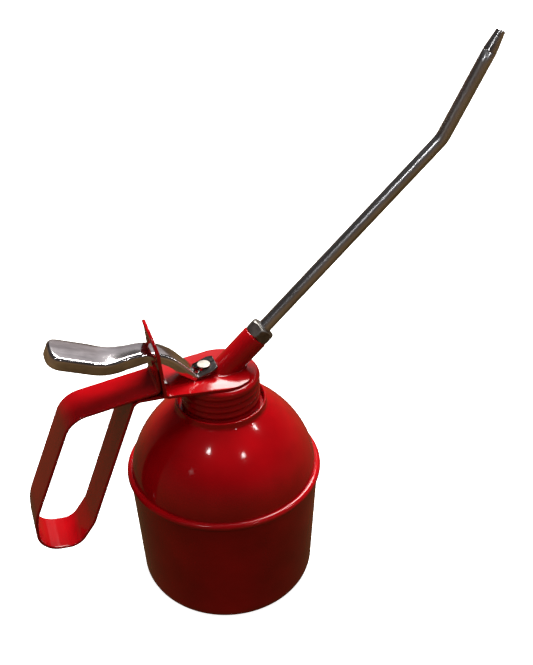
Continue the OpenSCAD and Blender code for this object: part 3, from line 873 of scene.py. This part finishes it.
def lever_shell():
    """Rings run round the plan outline: up the flange, over the shoulder, then strips across."""
    length = lever_track.length
    rim = []
    for i in range(1, 19):
        a = TURN / 4 * i / 18
        rim.append((END_ROUND * (1 - math.cos(a) ** (2 / END_POWER)),
                    lever_half(END_ROUND) * math.sin(a) ** (2 / END_POWER)))
    count = 70
    rim += [(END_ROUND + (length - END_ROUND) * i / count,
             lever_half(END_ROUND + (length - END_ROUND) * i / count)) for i in range(1, count + 1)]
    outline = [(s, -y) for s, y in reversed(rim)] + [(0, 0)] + rim
    total = len(outline)
    inward = []
    for i, (s, y) in enumerate(outline):
        a, b = outline[max(i - 1, 0)], outline[min(i + 1, total - 1)]
        d = Vector((b[0] - a[0], b[1] - a[1])).normalized()
        inward.append(Vector((d.y, -d.x)))
    middle = total // 2
    if inward[middle].x < 0:
        inward = [-v for v in inward]
    spots, rows = [], []

    def depth(s):
        """The flange is deepest under the thumb and shallower at the pivot and the fold."""
        return 5.9 - 1.7 * ease((s - 38) / 12) - 1.6 * ease((s - length + 10) / 10)

    def row(inset, drop):
        first = len(spots)
        for (s, y), v in zip(outline, inward):
            spots.append((s + v.x * inset, y + v.y * inset, drop(s)))
        rows.append(list(range(first, first + total)))

    row(0, lambda s: -depth(s))
    row(0, lambda s: -(depth(s) + SHOULDER) / 2)
    for k in range(9):
        a = TURN / 4 * k / 8
        row(SHOULDER * (1 - math.cos(a)), lambda s, a=a: -SHOULDER + SHOULDER * math.sin(a))
    faces = []
    for one, two in zip(rows, rows[1:]):
        for i in range(total - 1):
            faces.append((one[i], one[i + 1], two[i + 1], two[i]))
    last = rows[-1]
    across = 8
    grid = []
    for i in range(middle):
        near, far = spots[last[i]], spots[last[total - 1 - i]]
        line = [last[i]]
        for j in range(1, across):
            t = j / across
            spots.append(tuple(near[c] * (1 - t) + far[c] * t for c in range(3)))
            line.append(len(spots) - 1)
        grid.append(line + [last[total - 1 - i]])
    for one, two in zip(grid, grid[1:]):
        for j in range(across):
            faces.append((one[j], one[j + 1], two[j + 1], two[j]))
    for j in range(across):
        faces.append((grid[-1][j], grid[-1][j + 1], last[middle]))
    raised = []
    for s, y, n in spots:
        raised.append((s, y, n - CROWN * (y / lever_half(max(s, END_ROUND))) ** 2
                       if n > -SHOULDER else n - CROWN * 0.999))
    item = make_piece("lever", [lever_track.place(*p) for p in raised], faces, raised)
    mesh = item.data
    # The web faces up, so that the sheet's thickness goes inward
    if mesh.polygons[len(mesh.polygons) - 2].normal.z < 0:
        mesh.flip_normals()
    thick = item.modifiers.new("sheet", "SOLIDIFY")
    thick.thickness, thick.offset = LEVER_T * MM, -1
    rim_round = item.modifiers.new("rim", "BEVEL")
    rim_round.width, rim_round.segments, rim_round.limit_method = 0.3 * MM, 3, "ANGLE"
    rim_round.angle_limit = math.radians(60)
    return settle(item, 40)


ROD_CLEARANCE = 0.3
ROD_SLOT_LEAD = 1.2


def rod_room():
    """The room that the upright rod sweeps out of the lever over its swing."""
    room = ROD_R + ROD_CLEARANCE
    swing = (Matrix.Translation((PIVOT[0], 0, PIVOT[1]))
             @ Matrix.Rotation(math.radians(LEVER_SWING), 4, "Y"))
    made = bmesh.new()
    for place, height in ((Matrix.Translation((ROD_X + ROD_SLOT_LEAD, 0, 126)), 12),
                          (swing @ Matrix.Translation((ROD_X - PIVOT[0], 0, -13)), 14)):
        for z in (0, height):
            for x, y in arc((0, 0), room, 0, 352.5, 47):
                made.verts.new((place @ Vector((x, y, z))) * MM)
    hull = bmesh.ops.convex_hull(made, input=made.verts[:])
    bmesh.ops.delete(made, geom=[v for v in hull["geom_interior"]
                                 if isinstance(v, bmesh.types.BMVert)], context="VERTS")
    mesh = bpy.data.meshes.new("rod_room")
    made.to_mesh(mesh)
    made.free()
    item = bpy.data.objects.new("rod_room", mesh)
    bpy.context.scene.collection.objects.link(item)
    return item


rod_tool = rod_room()
fit(cut_out(lever_shell(), rod_tool), "lever", "bright_plate", lever_plate, "lever")

# ---- The lever's tab ----
# Past the fold the web rises again as a flat tab with two cut corners, left in
# its brushed state. The rod passes up through its slot to the button.

TAB_END = (-2.3, 135.87)
tab_rise = math.atan2(TAB_END[1] - LEVER_FOLD[1], TAB_END[0] - LEVER_FOLD[0])
tab_len = (TAB_END[0] - LEVER_FOLD[0]) / math.cos(tab_rise)
TAB_CUT_LONG, TAB_CUT_ACROSS = 2.2, 1.5
TAB_ROOT = -0.9
# The tab's bright edges are a painted highlight, where its cut edges catch the light
tab_steel = bare_metal("tab_steel", (0.20, 0.19, 0.19, 1), (0.09, 0.085, 0.085, 1), 0.30,
                       coords="run", stretch=(0.15, 1, 1), edge_wear_and_highlight=0.9,
                       grain_size=1800.0, depth=0.000012)
tab_outline = [(TAB_ROOT, -TAIL_HALF), (tab_len - TAB_CUT_LONG, -TAIL_HALF),
               (tab_len, TAB_CUT_ACROSS - TAIL_HALF), (tab_len, TAIL_HALF - TAB_CUT_ACROSS),
               (tab_len - TAB_CUT_LONG, TAIL_HALF), (TAB_ROOT, TAIL_HALF)]


def on_tab(u, y, n):
    n -= LEVER_T / 2
    return (LEVER_FOLD[0] + u * math.cos(tab_rise) - n * math.sin(tab_rise), y,
            LEVER_FOLD[1] + u * math.sin(tab_rise) + n * math.cos(tab_rise))


tab = sheet_solid("lever_tab", tab_outline, [], [], LEVER_T, on_tab, 0.2)
fit(cut_out(tab, rod_tool), "lever", "bright_plate", tab_steel)
bpy.data.objects.remove(rod_tool)

# ---- The spout ----
# A length of drawn steel tube, bent once near its end, with a turned nozzle
# pressed into it. A brass ring on its foot is squeezed by the nut.

TUBE_BORE_R = 2.3
TUBE_FROM = 10.0
BEND_AT = 153.4
BEND = math.radians(18.7)
BEND_R = 16.0
UPPER_RUN = 43.3
TIP_LEN = 10.2
TIP_R = 2.1
TIP_HOLE_R = 0.8
spout_steel = bare_metal("spout_steel", (0.70, 0.71, 0.74, 1), (0.45, 0.45, 0.46, 1), 0.26,
                         coords="run", stretch=(0.02, 1, 1), edge_wear_and_highlight=0.3,
                         grain_size=900.0, depth=0.00001)


def spout_point(s):
    return (s * math.cos(SPOUT_RISE), SPOUT_ROOT_Z + s * math.sin(SPOUT_RISE))


bend_point = spout_point(BEND_AT)
bend_start = spout_point(TUBE_FROM)
upper = SPOUT_RISE + BEND
tube_end = (bend_point[0] + UPPER_RUN * math.cos(upper),
            bend_point[1] + UPPER_RUN * math.sin(upper))
tube_track = Track(rounded_path([bend_start, bend_point, tube_end], [BEND_R], math.radians(1.5)))


def tube_mesh():
    """The tube's skin and its bore, joined by rings at both ends."""
    sides = 48
    marks = stations(tube_track, 6)
    points, unrolled, faces = [], [], []
    lengths = [(s, TUBE_R) for s in marks[:-1]] + [
        (marks[-1] - 0.15, TUBE_R), (marks[-1], TUBE_R - 0.15), (marks[-1], TUBE_BORE_R)]
    lengths += [(s, TUBE_BORE_R) for s in reversed(marks[:-1])]
    for s, r in lengths:
        for j in range(sides):
            a = TURN * j / sides
            y, n = r * math.cos(a), r * math.sin(a)
            points.append(tube_track.place(s, y, n))
            unrolled.append((s, y, n))
    rows = len(lengths)
    for i in range(rows):
        for j in range(sides):
            k = (j + 1) % sides
            m = (i + 1) % rows
            faces.append((i * sides + j, i * sides + k, m * sides + k, m * sides + j))
    return make_piece("spout", points, faces, unrolled, smooth=50)


fit(tube_mesh(), "spout", "spout_steel", spout_steel, "spout_tube")

tip_place = (Matrix.Translation((tube_end[0], 0, tube_end[1]))
             @ Matrix.Rotation(TURN / 4 - upper, 4, "Y"))
tip_profile = ([(TIP_HOLE_R, -5), (TUBE_BORE_R, -5), (TUBE_BORE_R, 0), (TUBE_R - 0.2, 0.02),
                (TUBE_R, 0.25), (TUBE_R - 0.04, 0.5)]
               + [(TUBE_R - 0.04 + (TIP_R + 0.1 - TUBE_R + 0.04) * t / 6,
                   0.5 + (TIP_LEN - 1.1) * t / 6) for t in range(1, 7)]
               + arc((TIP_R - 0.5, TIP_LEN - 0.6), 0.6, 10, 90, 5)
               + [(TIP_HOLE_R + 0.25, TIP_LEN), (TIP_HOLE_R, TIP_LEN - 0.25)])
tip_steel = bare_metal("tip_steel", (0.66, 0.66, 0.68, 1), (0.46, 0.46, 0.47, 1), 0.25,
                       edge_wear_and_highlight=0.3)
tip = lathe("spout_nozzle", tip_profile, steps=64, place=tip_place, smooth=25)
fit(tip, "spout", "spout_steel", tip_steel, "spout_tip")
finish_node("spout_ferrule", pump_brass)

# ---- The spout nut ----
# A dull turned hexagon, screwed into the socket over the brass ring. Its
# corners are chamfered and rubbed bright.

NUT_FLATS = 12.0
NUT_LEN = 6.0
NUT_CHAMFER = 1.1


def hexagon_nut(name, flats, low, high, chamfer, bore, spigot_r, spigot_low, place):
    """A hexagon with coned corners above a round spigot, and a bore right through."""
    steps = 144
    corner = flats / 2 / math.cos(TURN / 12)

    def pull(angle, r, z):
        if r <= spigot_r + 0.01 or z < low - 0.001:
            return 0
        sector = (angle % (TURN / 6)) - TURN / 12
        face = flats / 2 / math.cos(sector)
        end = min(z - low, high - z)
        cone = flats / 2 - 0.1 + end / chamfer * (corner - flats / 2 + 0.1)
        return min(face, cone, corner - 0.12) - r

    levels = [0, 0.12, 0.25, 0.4, 0.6, 0.8, 1.0]
    rise = [low + chamfer * t for t in levels]
    drop = [high - chamfer * t for t in reversed(levels)]
    profile = [(bore, spigot_low), (spigot_r - 0.2, spigot_low), (spigot_r, spigot_low + 0.2),
               (spigot_r, low)]
    profile += [(corner, z) for z in rise + drop]
    profile += [(bore + 0.3, high), (bore, high - 0.25)]
    return lathe(name, profile, steps=steps, ripple=pull, place=place, smooth=24)


nut_steel = bare_metal("nut_steel", (0.30, 0.285, 0.265, 1), (0.17, 0.16, 0.15, 1), 0.42,
                       edge_wear_and_highlight=0.8, grain_size=1500.0, depth=0.00003)
nut = hexagon_nut("nut", NUT_FLATS, SOCKET_LEN, SOCKET_LEN + NUT_LEN, NUT_CHAMFER,
                  TUBE_R + TUBE_FIT, SOCKET_THREAD_R - 0.05, SOCKET_THREAD_FROM + 2.0, spout_root)
fit(nut, "nut", "nut_steel", nut_steel, "spout_nut")

# ---- Floor, light and camera ----
# A plain pale floor, soft light from above and a few small lamps for the
# enamel's gloss. The camera looks down on the can from its front left.

bpy.context.scene.view_settings.view_transform = "Standard"

floor_mesh = bpy.data.meshes.new("floor")
REACH = 6.0
corners = [(x * REACH, y * REACH, 0) for x, y in ((-1, -1), (1, -1), (1, 1), (-1, 1))]
floor_mesh.from_pydata(corners, [], [(0, 1, 2, 3)])
floor = bpy.data.objects.new("floor", floor_mesh)
bpy.context.scene.collection.objects.link(floor)
paper, tree, shader = blank_material("floor_paper", Roughness=0.9, Specular_IOR_Level=0.1,
                                     Emission_Color=(1, 1, 1, 1), Emission_Strength=0.95)
mottle = add(tree, "ShaderNodeTexNoise", {"Scale": 3.0, "Detail": 2.0})
pale, shade = (0.90, 0.90, 0.895, 1), (0.86, 0.86, 0.855, 1)
tree.links.new(blend_colour(tree, mottle.outputs[0], pale, shade), shader.inputs["Base Color"])
floor_mesh.materials.append(paper)
floor.visible_glossy = False
floor.visible_diffuse = False


def lamp(name, at, aim, width, height, power, colour=(1, 1, 1)):
    light = bpy.data.lights.new(name, "AREA")
    light.shape, light.size, light.size_y = "RECTANGLE", width, height
    light.energy, light.color = power, colour
    item = bpy.data.objects.new(name, light)
    bpy.context.scene.collection.objects.link(item)
    item.location = at
    item.rotation_mode = "QUATERNION"
    item.rotation_quaternion = (Vector(aim) - Vector(at)).to_track_quat("-Z", "Y")
    return item


centre = (0, 0, 0.1)
lamp("key", (0.5, 0.6, 1.35), centre, 0.8, 0.8, 40, (1, 0.98, 0.95))
lamp("back", (0.7, 1.5, 0.9), centre, 1.3, 0.9, 1.5, (1, 0.95, 0.98))
# This one lights the top of the dome without a mirror image in the gloss
lamp("top", (0, 0, 1.6), centre, 0.6, 0.6, 9, (1, 0.98, 0.95)).visible_glossy = False
glint_size = 0.08
for name, at, power in (("glint_left", (-0.55, -0.55, 1.04), 1.0),
                        ("glint_front", (0.3, -0.84, 0.94), 0.8),
                        ("glint_right", (0.78, -0.23, 1.01), 1.0),
                        ("glint_low", (-0.98, -0.53, 0.62), 0.05)):
    lamp(name, at, centre, glint_size, glint_size, power)

world = bpy.data.worlds.new("surround")
bpy.context.scene.world = world
world.use_nodes = True
sky = world.node_tree
background = sky.nodes["Background"]
direction = add(sky, "ShaderNodeTexCoord").outputs["Generated"]
height = add(sky, "ShaderNodeSeparateXYZ", {"Vector": direction}).outputs["Z"]
ramp = add(sky, "ShaderNodeValToRGB", {"Fac": spread(sky, height, -1, 1)})
stops = ramp.color_ramp.elements
stops[0].position, stops[0].color = 0.0, (0.05, 0.028, 0.010, 1)
stops[1].position, stops[1].color = 1.0, (0.06, 0.055, 0.055, 1)
for position, colour in ((0.4, (0.18, 0.11, 0.05, 1)), (0.55, (0.14, 0.09, 0.06, 1)),
                         (0.7, (0.035, 0.03, 0.028, 1))):
    stop = stops.new(position)
    stop.color = colour
sky.links.new(ramp.outputs["Color"], background.inputs["Color"])
background.inputs["Strength"].default_value = 1.0

LENS_SHARE = 1000 / 533
heading, pitch, roll = math.radians(18.57), math.radians(33.34), math.radians(-0.92)
camera = bpy.data.objects.new("camera", bpy.data.cameras.new("camera"))
bpy.context.scene.collection.objects.link(camera)
camera.data.sensor_fit = "HORIZONTAL"
camera.data.sensor_width = 36
camera.data.lens = 36 * LENS_SHARE
camera.data.clip_start, camera.data.clip_end = 0.01, 50
ahead = Vector((math.sin(heading) * math.cos(pitch), math.cos(heading) * math.cos(pitch),
                -math.sin(pitch)))
right = Vector((math.cos(heading), -math.sin(heading), 0))
above = right.cross(ahead)
right, above = (right * math.cos(roll) + above * math.sin(roll),
                above * math.cos(roll) - right * math.sin(roll))
turn = Matrix((right, above, -ahead)).transposed()
camera.matrix_world = Matrix.Translation((-0.10473, -0.38442, 0.41284)) @ turn.to_4x4()
bpy.context.scene.camera = camera
